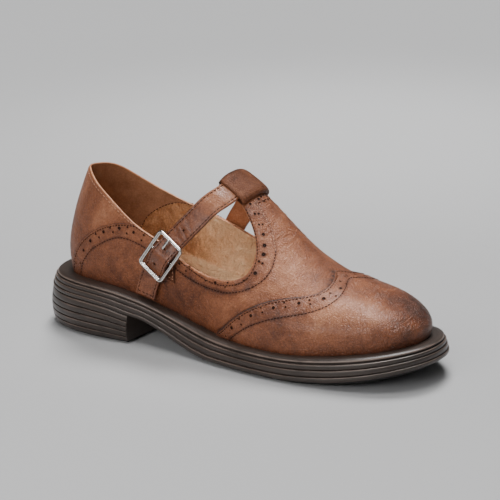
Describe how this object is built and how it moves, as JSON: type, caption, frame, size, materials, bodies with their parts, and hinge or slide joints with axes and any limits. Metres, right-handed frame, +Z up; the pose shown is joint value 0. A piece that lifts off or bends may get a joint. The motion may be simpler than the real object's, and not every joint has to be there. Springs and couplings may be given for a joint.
{
  "type": "mary jane shoe",
  "caption": "Brown leather T-bar mary jane for the right foot, with a side buckle, a winged toe cap and a ribbed block-heel sole",
  "frame": {"origin": "on the ground under the middle of the shoe's outline", "axes": "+X to the toe, +Y to the inner side of the foot, -Y to the outer side with the buckle, +Z up"},
  "size_m": [0.2741, 0.1031, 0.1088],
  "materials": {
    "leather": "burnished, soft sheen",
    "dark_leather": "burnished, soft sheen",
    "insole": "matt",
    "sole": "satin",
    "tread": "matt",
    "buckle": "polished"
  },
  "bodies": {
    "root": {"outsole": "sole", "heel_block": "sole", "heel_top_piece": "tread", "forefoot_tread": "tread", "insole": "insole", "upper": "leather", "toe_cap": "leather", "strap": "leather", "strap_keeper": "dark_leather", "buckle_tab": "dark_leather", "buckle_frame": "buckle", "buckle_prong": "buckle"}
  },
  "joints": []
}
